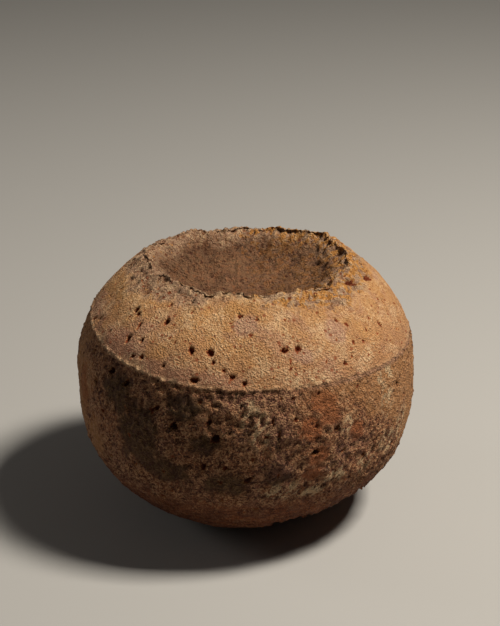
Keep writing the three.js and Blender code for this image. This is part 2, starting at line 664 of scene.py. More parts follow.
class PitField:
    """All the pits: the landmarks that the ball is known by, and a scatter of smaller ones."""

    SEED = 41
    SHRINK = 0.84  # what a landmark's radius is multiplied by
    SMALLEST_GATHERED = 0.7  # mm; smaller pits are made by the grid as it is
    GATHER_REACH = (2.6, 2.2)  # a share of the radius, and mm more
    GATHER_LEAST = 0.38  # spacing in the middle of a pit, as a share of the usual
    CLEAR_RISE, CLEAR_SIDE = 5.0, 3.5  # mm and degrees kept free round a landmark
    LANDMARKS = (
        Pit(-56, 134, 2.4, 2.8, 1.2, 20),
        Pit(-53, 133, 1.5, 1.8, 1.0, 0),
        Pit(-57, 130, 1.2, 1.6, 1.4, 60),
        Pit(-48, 129, 1.5, 1.8, 1.9, 95),
        Pit(-49, 122, 2.2, 2.6, 1.6, 95),
        Pit(-42, 124, 1.3, 1.6, 1.4, 90),
        Pit(-36, 134, 2.4, 2.8, 1.5, 70),
        Pit(-40, 140, 1.6, 2.0, 1.7, 50),
        Pit(-26, 140, 1.2, 1.4, 1.3, 60),
        Pit(-39, 117, 1.5, 1.8, 1.2, 0),
        Pit(-43, 116, 1.1, 1.4, 1.0, 0),
        Pit(-29, 116, 1.2, 1.5, 1.1, 0),
        Pit(-75, 121, 1.5, 1.8, 2.0, 70),
        Pit(-79, 118, 1.4, 1.7, 2.0, 75),
        Pit(-20, 125, 2.2, 2.8, 1.2, 80),
        Pit(-13, 125, 2.2, 2.8, 1.3, -25),
        Pit(-11, 121, 1.2, 1.5, 1.7, 90),
        Pit(-17, 112, 2.2, 2.8, 1.3, 0),
        Pit(-4, 115, 1.4, 2.0, 1.1, 40),
        Pit(-7, 118, 1.0, 1.4, 1.0, 0),
        Pit(0, 112, 1.5, 2.0, 1.4, 60),
        Pit(-2, 140, 1.7, 2.2, 1.3, 0),
        Pit(15, 126, 2.0, 2.6, 1.5, -10),
        Pit(20, 126, 2.0, 2.6, 1.2, 20),
        Pit(70, 143, 4.2, 5.0, 1.8, -25),
        Pit(83, 140, 3.2, 4.0, 1.5, -30),
        Pit(62, 124, 1.9, 2.4, 1.6, -60),
        Pit(37, 115, 1.3, 1.8, 1.5, -20),
        Pit(61, 92, 1.7, 2.2, 1.9, -60),
        Pit(16, 104, 0.9, 1.2, 1.4, 20),
        Pit(12, 104, 0.8, 1.1, 1.2, 0),
        Pit(25, 104, 1.1, 1.2, 1.3, 0),
        Pit(-51, 105, 2.4, 3.0, 1.2, 60),
        Pit(-43, 102, 1.9, 2.6, 1.6, 85),
        Pit(-60, 94, 1.7, 2.2, 1.9, 85),
        Pit(-66, 107, 1.6, 2.0, 1.9, 80),
        Pit(-23, 87, 2.7, 3.6, 1.1, 0),
        Pit(-9, 83, 2.9, 3.8, 1.3, 35),
        Pit(-11, 92, 1.9, 2.2, 1.4, 60),
        Pit(-29, 95, 1.8, 2.4, 1.5, 35),
        Pit(-31, 93, 1.4, 1.8, 1.2, 0),
        Pit(23, 72, 2.3, 3.2, 1.4, -20),
        Pit(-13, 66, 2.0, 3.0, 1.3, 70),
        Pit(-6, 66, 1.4, 2.0, 1.2, 0),
        Pit(-8, 57, 1.5, 2.0, 1.8, -30),
        Pit(1, 58, 1.9, 2.4, 2.3, 25),
        Pit(9, 92, 1.2, 1.8, 3.0, 100),
        Pit(11, 85, 1.0, 1.5, 2.6, 80),
    )

    def __init__(self, outline: BallOutline, dome_count: int, belly_count: int) -> None:
        """Adds a seeded scatter to the landmarks.

        Args:
            outline: The ball that the pits are in.
            dome_count: How many small pits are above the seam.
            belly_count: How many are below it.
        """
        self.outline = outline
        rng = np.random.default_rng(self.SEED)
        small = self.scatter(rng, dome_count, outline.seam_height + 4.0, 145.0, 0.5)
        small += self.scatter(rng, belly_count, 22.0, outline.seam_height - 6.0, 0.68)
        known = self.LANDMARKS
        self.pits = [replace(pit, radius=pit.radius * self.SHRINK) for pit in known] + small

    def scatter(self, rng: np.random.Generator, count: int, low: float, high: float,
                least: float) -> list[Pit]:
        """Random pits between two heights, spread evenly over the surface, few of them large.

        A radius is least / u^0.3 with u even from 0.08 to 1, and a drawn place is dropped if it
        crowds a landmark.

        Args:
            rng: Draws the numbers.
            count: How many pits to make.
            low: Lowest height in millimetres.
            high: Greatest height.
            least: Smallest radius.

        Returns:
            The pits.
        """
        made: list[Pit] = []
        while len(made) < count:
            bearing = rng.uniform(-180.0, 180.0)
            along = rng.uniform(self.outline.along_at(low), self.outline.along_at(high))
            radius = least / rng.uniform(0.08, 1.0) ** 0.3
            shape, turn = rng.uniform(1.0, 1.9), rng.uniform(0.0, 180.0)
            deep = radius * rng.uniform(1.0, 1.5)
            height = float(np.interp(along, self.outline.along, self.outline.up))
            out = float(np.interp(along, self.outline.along, self.outline.out))
            if rng.uniform() > out / self.outline.radius or self.crowded(bearing, height):
                continue
            made.append(Pit(bearing, height, radius, deep, shape, turn))
        return made

    def crowded(self, bearing: float, height: float) -> bool:
        """True close to a landmark.

        Args:
            bearing: Bearing of a place in degrees.
            height: Its height in millimetres.

        Returns:
            Whether a landmark is nearer than both clearances.
        """
        return any(
            abs(height - pit.height) < self.CLEAR_RISE
            and abs((bearing - pit.bearing + 180.0) % 360.0 - 180.0) < self.CLEAR_SIDE
            for pit in self.LANDMARKS
        )

    def gather(self, along: np.ndarray, bearing: np.ndarray) -> tuple[np.ndarray, np.ndarray]:
        """Draws the grid in towards each pit, so that its wall is made of small triangles.

        Inside the reach, a point at share t of it moves to t * (0.38 + 0.62 t^2) of it. Points
        near the seam keep their distance along the outline.

        Args:
            along: Each grid point's distance along the outline.
            bearing: Its bearing.

        Returns:
            The new distances and bearings.
        """
        line, (share_of_radius, more) = self.outline, self.GATHER_REACH
        for pit in self.pits:
            if pit.radius < self.SMALLEST_GATHERED:
                continue
            centre, out = self.centre(pit)
            reach = share_of_radius * pit.radius + more
            side = from_front(bearing - math.radians(pit.bearing)) * out
            rise = along - centre
            near = np.flatnonzero((np.abs(side) < reach) & (np.abs(rise) < reach))
            share = np.hypot(side[near], rise[near]) / reach
            near, share = near[share < 1.0], share[share < 1.0]
            pull = 1.0 - (self.GATHER_LEAST + (1.0 - self.GATHER_LEAST) * share**2)
            free = 1.0 - bell(along[near] - line.seam_along, 3.0)
            bearing[near] -= side[near] * pull / out
            along[near] -= rise[near] * pull * free
        return along, bearing

    def centre(self, pit: Pit) -> tuple[float, float]:
        """Finds a pit's middle on the outline.

        Args:
            pit: The pit.

        Returns:
            Distance along the outline, before the seam's slide, and distance from the axis.
        """
        line = self.outline
        fine = np.linspace(line.foot + 1.0, line.rim_along, 700)
        there = line.place(fine, np.full(700, math.radians(pit.bearing)))
        middle = float(np.interp(pit.height, np.maximum.accumulate(there[:, 2]), fine))
        return middle, float(np.interp(middle, fine, np.hypot(there[:, 0], there[:, 1])))

    def carve(self, points: np.ndarray, normals: np.ndarray,
              noise: SpaceNoise) -> tuple[np.ndarray, np.ndarray, np.ndarray]:
        """Depth of the pits at each point.

        A pit is an oval, turned in the surface, with a wavering edge. share is 0 in its middle and
        1 at its edge. The depth falls off as 1 - share^4, and just outside is a faint raised lip.

        Args:
            points: The smooth surface.
            normals: Its normals.
            noise: For the edges.

        Returns:
            The height to add, a mask that is 1 inside a pit, and one that is 1 inside a large pit.
        """
        height, mask, deep = (np.zeros(len(points)) for _ in range(3))
        waver = 1.0 + 0.34 * noise.fractal(points, 2.6, 2)
        for pit in self.pits:
            angle = math.radians(pit.bearing)
            middle, _ = self.centre(pit)
            spot = self.outline.place(np.array([middle]), np.array([angle]))[0]
            near = np.flatnonzero((np.abs(points - spot) < 3.2 * pit.radius * pit.stretch).all(axis=1))
            if not len(near):
                continue
            facing = normals[near[np.linalg.norm(points[near] - spot, axis=1).argmin()]]
            level = np.array([math.cos(angle), math.sin(angle), 0.0])
            upward = np.cross(facing, level)
            tilt = math.radians(pit.turn)
            long_way = math.cos(tilt) * level + math.sin(tilt) * upward
            short_way = math.cos(tilt) * upward - math.sin(tilt) * level
            gap = points[near] - spot
            far = np.hypot(gap @ long_way / pit.stretch**0.5, gap @ short_way * pit.stretch**0.5)
            share = far / pit.radius * waver[near]
            hole = 1.0 - np.clip(share, 0.0, 1.0) ** 4
            lip = 0.07 * pit.radius * bell(share - 1.2, 0.22)
            height[near] += lip * (1.0 - mask[near]) - pit.depth * hole
            inside = smooth(1.12, 0.8, share)
            mask[near] = np.maximum(mask[near], inside)
            deep[near] = np.maximum(deep[near], inside * min(1.0, max(0.0, pit.radius - 0.8)))
        return height, mask, deep


@dataclass
class RindRelief:
    """Everything that makes the smooth ball rough, in millimetres along its normal.

    seam_step is how far the dome's edge stands out over the seam, and sunk is how far the dome
    shrinks away higher up. The skin has torn off up to about torn_height on one side of the foot.
    """

    outline: BallOutline
    pits: PitField
    noise: SpaceNoise
    stains: StainMap = field(default_factory=StainMap)
    seam_step: float = 0.65
    sunk: float = 1.3
    torn_height: float = 13.0
    torn_depth: float = 3.4
    slump_bearing: float = -86.0
    slump_height: float = 128.0
    slump_depth: float = 2.2
    lip_rise: float = 1.5
    hummock: float = 2.6
    crumb_size: float = 3.3

    def masks(self, along: np.ndarray, bearing: np.ndarray, points: np.ndarray) -> dict[str, np.ndarray]:
        """Shares of each point in the ball's regions.

        below is 1 under the seam, and upper rises to 1 as the seam is neared from there, towards
        +X. skirt rises to 1 as it is neared from above. lip is 1 on pale crumbs, and line is 1 in
        the greyer line along the seam towards +X. hollow is 1 inside the rim. crumb is 1 where
        the rim has crumbled, in a band that is narrow at the front and wide at the sides. band is
        1 on the smoother ring round the foot.

        Args:
            along: Distance along the outline.
            bearing: Bearing round the axis.
            points: The smooth surface.

        Returns:
            The masks by name.
        """
        line, noise = self.outline, self.noise
        ragged = noise.fractal(points, 9.0, 3)
        past_rim = along - line.rim_along
        front = line.steepness(bearing)
        width = 15.0 - 11.5 * front + 5.0 * ragged
        crumb = smooth(-width - 5.0, -width + 3.0, past_rim) * (1.0 - 0.45 * smooth(12.0, 30.0, past_rim))
        right = smooth(0.15, 0.65, np.sin(bearing))
        above = along - line.seam_along
        return {
            "below": smooth(0.9, -0.9, above + 0.7 * noise.waves(points, 3.0)),
            "hollow": smooth(1.0, 13.0 - 8.0 * front, past_rim + 3.0 * ragged),
            "crumb": crumb,
            "band": smooth(48.0, 30.0, points[:, 2] + 7.0 * ragged) * (along < line.seam_along),
            "upper": smooth(-34.0, -1.0, above + 9.0 * ragged) * (0.2 + 0.8 * right),
            "skirt": smooth(30.0, 2.0, above + 6.0 * ragged),
            "line": bell(above + 1.4 + 0.5 * noise.waves(points, 4.0), 1.3) * right,
            "lip": self.lip(along, bearing, points),
        }

    def lip(self, along: np.ndarray, bearing: np.ndarray, points: np.ndarray) -> np.ndarray:
        """Share of pale crumbs: on the seam's ridge, most towards -X, and on the rim's front lip.

        Args:
            along: Distance along the outline.
            bearing: Bearing round the axis.
            points: The smooth surface.

        Returns:
            0 to 1 for each point.
        """
        above = along - self.outline.seam_along + 0.35 * self.noise.waves(points, 2.2)
        broken = smooth(-0.45, 0.55, self.noise.fractal(points, 2.6, 3, 0.7))
        seam = bell(above - 0.4, 1.0) * (0.3 + 0.7 * smooth(0.0, 0.8, -np.sin(bearing)))
        rim = bell(along - self.outline.rim_along + 2.5, 3.2) * self.outline.steepness(bearing)
        return np.maximum(seam, rim) * broken

    def seam(self, along: np.ndarray, points: np.ndarray, bearing: np.ndarray) -> np.ndarray:
        """The seam's ledge.

        The dome's edge stands out by the step, which fades over 26 mm above it, and carries a thin
        ragged ridge. Under it the surface drops back within 1 to 4 mm, with a shallow groove there
        except towards +X.

        Args:
            along: Distance along the outline.
            points: The smooth surface.
            bearing: Bearing round the axis.

        Returns:
            The height for each point.
        """
        noise = self.noise
        above = along - self.outline.seam_along + 0.45 * noise.waves(points, 2.2)
        underside = 1.8 + 1.8 * smooth(-0.4, 0.8, np.sin(bearing)) + 0.6 * noise.waves(points, 14.0)
        left = smooth(0.15, 0.8, -np.sin(bearing))
        right = smooth(0.1, 0.7, np.sin(bearing))
        stand = self.seam_step * (1.0 + 0.3 * noise.waves(points, 18.0)) * (1.0 - 0.45 * left - 0.6 * right)
        under = 1.0 - smooth(0.0, 1.0, -above / underside)
        ledge = np.where(above > 0.0, 1.0 - smooth(0.0, 26.0, above), under)
        crumbly = noise.fractal(points, 2.2, 3, 0.7)
        ridge = (0.1 + 0.3 * left + (0.25 + 0.55 * left) * crumbly) * bell(above - 0.5, 0.9)
        groove = -0.15 * (1.0 - right) * bell(above + underside + 1.2, 2.2)
        return stand * ledge + ridge + groove

    def belly(self, points: np.ndarray, warped: np.ndarray, mask: dict[str, np.ndarray]) -> np.ndarray:
        """Wrinkled and pebbly crust below the seam.

        It is creases, deeper in worn stretches, plus fractal pebbles. Both are flatter on the band
        round the foot, where level cracks run, and half as deep where the rind is tan.

        Args:
            points: The smooth surface.
            warped: The same, pushed about by noise.
            mask: The masks by name.

        Returns:
            The height for each point.
        """
        noise, band = self.noise, mask["band"]
        worn = smooth(-0.35, 0.45, noise.fractal(points, 26.0, 2))
        wrinkles = (noise.creases(warped, 5.2, 3) - 0.74) * (1.1 + 2.2 * worn)
        pebbles = 0.85 * noise.fractal(points, 4.0, 3, 0.75)
        crust = wrinkles * (1.0 - 0.8 * band) + pebbles * (1.0 - 0.65 * band)
        return crust * (1.0 - 0.5 * mask[Stain.TAN.value])

    def cracks(self, points: np.ndarray, band: np.ndarray) -> np.ndarray:
        """Level cracks in the band: creases of noise that is squeezed flat, so that they run round."""
        level = points * np.array([0.12, 0.12, 1.0]) + 0.5
        return -0.7 * smooth(0.9, 0.985, self.noise.creases(level, 2.4, 1)) * band

    def broken(self, points: np.ndarray, warped: np.ndarray) -> tuple[np.ndarray, np.ndarray]:
        """Broken paste of the rim: round lumps, each at its own height, under fractal noise.

        Args:
            points: The smooth surface.
            warped: The same, pushed about by noise.

        Returns:
            The height for each point, and the random number of its lump.
        """
        near, owner = self.noise.lumps(warped, self.crumb_size)
        rough = 0.75 * self.noise.fractal(points, 3.0, 3, 0.65)
        return 1.3 * (0.42 - near) + 1.2 * (owner - 0.55) + rough, owner

    def torn_skin(self, points: np.ndarray, bearing: np.ndarray) -> np.ndarray:
        """Step where the skin has torn off low down, from the front round towards +X.

        The tear's edge climbs by 20 mm a radian and is ragged with fractal noise.

        Args:
            points: The smooth surface.
            bearing: Bearing round the axis.

        Returns:
            The height for each point, 0 above the edge and below it minus the depth.
        """
        front, up = from_front(bearing), points[:, 2]
        edge = self.torn_height + 20.0 * front + 3.2 * self.noise.fractal(points, 6.0, 3, 0.7)
        torn = smooth(math.radians(-12.0), math.radians(8.0), front)
        torn *= smooth(math.radians(80.0), math.radians(58.0), front)
        return -self.torn_depth * torn * smooth(0.35, -0.35, up - edge) * smooth(2.0, 9.0, up)

    def slump(self, points: np.ndarray, bearing: np.ndarray) -> np.ndarray:
        """Broad dent where the dome has slumped: a bell round the bearing times one in height."""
        side = bell(from_front(bearing - math.radians(self.slump_bearing)), 0.65)
        return -self.slump_depth * side * bell(points[:, 2] - self.slump_height, 15.0)

    def rim(self, along: np.ndarray, bearing: np.ndarray, points: np.ndarray) -> np.ndarray:
        """The torn rim, its raised front lip, and the hummocks of the hollow's floor.

        Args:
            along: Distance along the outline.
            bearing: Bearing round the axis.
            points: The smooth surface.

        Returns:
            The height for each point.
        """
        past_rim = along - self.outline.rim_along
        torn = 1.5 * self.noise.fractal(points, 10.0, 3, 0.6) * bell(past_rim, 7.0)
        raised = self.lip_rise * self.outline.steepness(bearing) * bell(past_rim + 2.0, 8.0)
        floor = self.hummock * self.noise.fractal(points, 19.0, 3, 0.6) * smooth(4.0, 16.0, past_rim)
        return torn + raised + floor

    def heights(self, along: np.ndarray, bearing: np.ndarray, points: np.ndarray,
                normals: np.ndarray) -> tuple[np.ndarray, dict[str, np.ndarray]]:
        """Height of the relief at each point, with the masks that the finish reads.

        It is the sum of all the parts, and fades to nothing on the flat spot. The mask relief is
        the roughness alone, with 0.5 as its middle, and the crumb tone is each lump's own random
        number, made less towards -X as painted shadow on that side of the rim.

        Args:
            along: Distance along the outline.
            bearing: Bearing round the axis.
            points: The smooth surface.
            normals: Its normals.

        Returns:
            The height to move each point out by, and the masks by name.
        """
        noise, line = self.noise, self.outline
        mask = self.masks(along, bearing, points)
        mask.update(self.stains.masks(points, bearing, noise))
        below, crumb = mask["below"], mask["crumb"]
        drift = [noise.waves(points + shift, 6.0) for shift in (0.0, 50.0, 90.0)]
        warped = points + 1.8 * np.stack(drift, axis=1)
        dome = 0.2 * noise.fractal(points, 6.0, 4, 0.62)
        rough = (1.0 - below) * dome + below * self.belly(points, warped, mask)
        broken, owner = self.broken(points, warped)
        crumbs = broken + 0.9 * noise.fractal(points, 9.0, 2) - 0.9
        crumbled = crumb * (1.0 + 0.3 * smooth(4.0, 18.0, along - line.rim_along))
        height = 0.8 * noise.fractal(points, 46.0, 2) + 0.35 * noise.fractal(points, 13.0, 2)
        height += rough * (1.0 - 0.6 * crumb) + crumbs * crumbled
        height += self.cracks(points, mask["band"]) + self.torn_skin(points, bearing)
        height += self.slump(points, bearing) + self.rim(along, bearing, points)
        height += self.seam(along, points, bearing)
        height -= self.sunk * smooth(0.0, 34.0, along - line.seam_along)
        holes, mask["pit"], mask["deep_pit_shade"] = self.pits.carve(points, normals, noise)
        height = (height + holes) * (1.0 - smooth(line.foot + 7.0, line.foot - 1.0, along))
        mask["relief"] = np.clip(0.5 + 0.5 * (rough * (1.0 - crumb) + 0.5 * broken * crumb), 0.0, 1.0)
        # Falls towards -X: painted shadow on the left of the rim, over each lump's random tone.
        mask["crumb_tone_and_shadow"] = owner * (0.4 + 0.6 * smooth(-0.3, 0.5, np.sin(bearing)))
        return height, mask


class Wiring:
    """Adds nodes to one node tree and joins them, so that a finish reads from top to bottom."""

    def __init__(self, tree: bpy.types.NodeTree) -> None:
        """Takes the tree to add to."""
        self.tree = tree

    def add(self, kind: str, **settings: object) -> bpy.types.Node:
        """Adds a node.

        Args:
            kind: Its type.
            settings: Its own settings by name.

        Returns:
            The node.
        """
        node = self.tree.nodes.new(kind)
        for name, value in settings.items():
            setattr(node, name, value)
        return node

    def feed(self, socket: bpy.types.NodeSocket, source: object) -> None:
        """Joins a socket to another, or sets its plain value.

        Args:
            socket: The socket to feed.
            source: The other socket, or the value.
        """
        if isinstance(source, bpy.types.NodeSocket):
            self.tree.links.new(source, socket)
        else:
            socket.default_value = source

    def sum(self, operation: str, first: object, second: object) -> bpy.types.NodeSocket:
        """Puts two values through a Math node.

        Args:
            operation: What it does with them.
            first: A socket or a plain number.
            second: Another.

        Returns:
            The result's socket.
        """
        node = self.add("ShaderNodeMath", operation=operation)
        self.feed(node.inputs[0], first)
        self.feed(node.inputs[1], second)
        return node.outputs[0]

    def rise(self, value: object, low: float, high: float, least: float = 0.0,
             most: float = 1.0) -> bpy.types.NodeSocket:
        """Steps smoothly from least at low to most at high.

        Args:
            value: The socket to read.
            low: Where the step starts.
            high: Where it ends, which may be below low for a fall.
            least: The result at low and before it.
            most: The result at high and past it.

        Returns:
            The result's socket.
        """
        node = self.add("ShaderNodeMapRange", interpolation_type="SMOOTHSTEP")
        self.feed(node.inputs["Value"], value)
        ends = {"From Min": low, "From Max": high, "To Min": least, "To Max": most}
        for name, end in ends.items():
            node.inputs[name].default_value = end
        return node.outputs["Result"]

    def times(self, first: object, second: object) -> bpy.types.NodeSocket:
        """Product of two values."""
        return self.sum("MULTIPLY", first, second)

    def moved(self, place: object, shift: tuple[float, float, float]) -> bpy.types.NodeSocket:
        """Moves a place, so that a pattern used twice doesn't repeat.

        Args:
            place: The place's socket.
            shift: How far, in metres.

        Returns:
            The moved place's socket.
        """
        node = self.add("ShaderNodeMapping", vector_type="POINT")
        self.feed(node.inputs["Vector"], place)
        node.inputs["Location"].default_value = shift
        return node.outputs[0]

    def drawn_out(self, place: object, scale: tuple[float, float, float],
                  tilt: float = 0.0) -> bpy.types.NodeSocket:
        """Draws a pattern out, by tilting its place round Y and dividing it by a scale.

        Args:
            place: The place's socket.
            scale: How many times longer the pattern gets each way.
            tilt: The tilt in degrees.

        Returns:
            The new place's socket.
        """
        node = self.add("ShaderNodeMapping", vector_type="TEXTURE")
        self.feed(node.inputs["Vector"], place)
        node.inputs["Rotation"].default_value = (0.0, math.radians(tilt), 0.0)
        node.inputs["Scale"].default_value = scale
        return node.outputs[0]

    def blend(self, share: object, first: object, second: object) -> bpy.types.NodeSocket:
        """Mixes two colours.

        Args:
            share: How much of the second, from 0 to 1.
            first: A socket or a plain colour.
            second: Another.

        Returns:
            The mixed colour's socket.
        """
        node = self.add("ShaderNodeMix", data_type="RGBA")
        self.feed(node.inputs["Factor"], share)
        self.feed(node.inputs[6], first)
        self.feed(node.inputs[7], second)
        return node.outputs[2]

    def noise(self, place: object, size: object, detail: float = 2.0, rough: float = 0.5,
              lean: float = 0.0) -> bpy.types.NodeSocket:
        """Adds a noise texture.

        Args:
            place: The place's socket.
            size: Size of its features in millimetres, or a socket with their number in a metre.
            detail: Number of finer octaves.
            rough: Height of an octave as a share of the one before.
            lean: How much the noise is warped by itself.

        Returns:
            The socket of its value, mostly between 0.3 and 0.7.
        """
        node = self.add("ShaderNodeTexNoise")
        self.feed(node.inputs["Vector"], place)
        self.feed(node.inputs["Scale"], self.in_a_metre(size))
        self.feed(node.inputs["Detail"], detail)
        self.feed(node.inputs["Roughness"], rough)
        self.feed(node.inputs["Distortion"], lean)
        return node.outputs["Fac"]

    def cells(self, place: object, scale: object) -> bpy.types.Node:
        """Adds Voronoi cells.

        Args:
            place: The place's socket.
            scale: The socket with their number in a metre.

        Returns:
            The node.
        """
        node = self.add("ShaderNodeTexVoronoi")
        self.feed(node.inputs["Vector"], place)
        self.feed(node.inputs["Scale"], scale)
        return node

    @staticmethod
    def in_a_metre(size: object) -> object:
        """A socket as it is, or a size in millimetres as the number of them in a metre."""
        return size if isinstance(size, bpy.types.NodeSocket) else 1000.0 / size

    def mask(self, name: str) -> bpy.types.NodeSocket:
        """The piece's own mask of that name."""
        return self.add("ShaderNodeAttribute", attribute_name=name).outputs["Fac"]


class Kind(Enum):
    """Kinds of node group socket."""

    VALUE = "NodeSocketFloat"
    VECTOR = "NodeSocketVector"


class Effect:
    """A node group with named inputs and outputs, made once."""

    def __init__(self, name: str, inputs: dict[str, Kind], outputs: dict[str, Kind]) -> None:
        """Makes the group's tree and its sockets.

        Args:
            name: The group's name.
            inputs: Each input's kind by name.
            outputs: Each output's kind by name.
        """
        self.tree = bpy.data.node_groups.new(name, "ShaderNodeTree")
        for sockets, way in ((inputs, "INPUT"), (outputs, "OUTPUT")):
            for label, kind in sockets.items():
                self.tree.interface.new_socket(name=label, in_out=way, socket_type=kind.value)
        self.wires = Wiring(self.tree)
        self.given = self.wires.add("NodeGroupInput").outputs
        self.result = self.wires.add("NodeGroupOutput").inputs

    def place(self, wires: Wiring, **sources: object) -> bpy.types.bpy_prop_collection:
        """Puts the group in a material's tree.

        Args:
            wires: The material's wiring.
            sources: A socket or a plain value for each input.

        Returns:
            The group's outputs by name.
        """
        node = wires.add("ShaderNodeGroup", node_tree=self.tree)
        for name, source in sources.items():
            wires.feed(node.inputs[name], source)
        return node.outputs


def sand_effect() -> Effect:
    """Fine sandy grain.

    Pale is 1 on scattered pale grains, Dark is 1 in the specks between them, and Height is the
    grain's height in millimetres. Scale is the number of grains in a metre, and Even is the least
    share of grains anywhere.

    Returns:
        The effect.
    """
    effect = Effect(
        "sandy_grain",
        {"Place": Kind.VECTOR, "Scale": Kind.VALUE, "Even": Kind.VALUE},
        {"Pale": Kind.VALUE, "Dark": Kind.VALUE, "Height": Kind.VALUE},
    )
    wires, place, scale = effect.wires, effect.given["Place"], effect.given["Scale"]
    coarse = wires.noise(place, scale, 2.0, 0.6)
    finer = wires.noise(place, wires.times(scale, 1.9), 1.0, 0.5)
    level = wires.sum("ADD", wires.times(coarse, 0.6), wires.times(finer, 0.4))
    grains = wires.cells(place, wires.times(scale, 0.8)).outputs["Distance"]
    round_top = wires.times(wires.rise(grains, 0.7, 0.1), 0.22)
    rough = wires.times(wires.sum("SUBTRACT", level, 0.5), 2.2)
    patchy = wires.rise(wires.noise(place, 11.0, 3.0, 0.6), 0.38, 0.62, 0.15, 1.0)
    sparse = wires.rise(wires.noise(place, 7.0, 3.0, 0.6), 0.6, 0.4, 0.15, 1.0)
    pale_share = wires.sum("MAXIMUM", patchy, effect.given["Even"])
    dark_share = wires.sum("MAXIMUM", sparse, effect.given["Even"])
    wires.feed(effect.result["Pale"], wires.times(wires.rise(level, 0.51, 0.58), pale_share))
    wires.feed(effect.result["Dark"], wires.times(wires.rise(level, 0.485, 0.41), dark_share))
    wires.feed(effect.result["Height"], wires.sum("ADD", rough, round_top))
    return effect


def crust_effect() -> Effect:
    """Broken crust between 1 and 5 mm.

    Height is its height in millimetres, Ridge is 1 on its crests and Crevice is 1 in its cracks.

    Returns:
        The effect.
    """
    effect = Effect(
        "broken_crust",
        {"Place": Kind.VECTOR},
        {"Height": Kind.VALUE, "Ridge": Kind.VALUE, "Crevice": Kind.VALUE},
    )
    wires, place = effect.wires, effect.given["Place"]
    broad = wires.noise(place, 4.0, 4.0, 0.66, 0.5)
    small = wires.noise(place, 1.6, 3.0, 0.7, 0.6)
    level = wires.sum("ADD", wires.times(broad, 0.5), wires.times(small, 0.5))
    wires.feed(effect.result["Height"], wires.times(wires.sum("SUBTRACT", level, 0.5), 7.4))
    wires.feed(effect.result["Ridge"], wires.rise(level, 0.505, 0.575))
    wires.feed(effect.result["Crevice"], wires.rise(level, 0.485, 0.41))
    return effect


def pinhole_effect() -> Effect:
    """Scattered pinholes, 1 inside.

    Scale is the number of cells in a metre, and Share is how many of them have one.

    Returns:
        The effect.
    """
    effect = Effect(
        "pinholes",
        {"Place": Kind.VECTOR, "Scale": Kind.VALUE, "Share": Kind.VALUE},
        {"Hole": Kind.VALUE},
    )
    wires = effect.wires
    cell = wires.cells(effect.given["Place"], effect.given["Scale"])
    split = wires.add("ShaderNodeSeparateColor")
    wires.feed(split.inputs[0], cell.outputs["Color"])
    chosen = wires.sum("LESS_THAN", split.outputs[0], effect.given["Share"])
    size = wires.rise(split.outputs[1], 0.0, 1.0, 0.1, 0.24)
    inside = wires.sum("LESS_THAN", cell.outputs["Distance"], size)
    wires.feed(effect.result["Hole"], wires.times(chosen, inside))
    return effect


def patch_effect() -> Effect:
    """Soft patches with ragged borders, 1 inside.

    Scale is the number in a metre, and Cover is about the share of the surface inside them.

    Returns:
        The effect.
    """
    effect = Effect(
        "rind_patches",
        {"Place": Kind.VECTOR, "Scale": Kind.VALUE, "Cover": Kind.VALUE},
        {"Patch": Kind.VALUE},
    )
    wires, place = effect.wires, effect.given["Place"]
    broad = wires.noise(place, effect.given["Scale"], 5.0, 0.62, 0.6)
    level = wires.sum("ADD", broad, wires.sum("SUBTRACT", effect.given["Cover"], 0.5))
    wires.feed(effect.result["Patch"], wires.rise(level, 0.45, 0.62))
    return effect


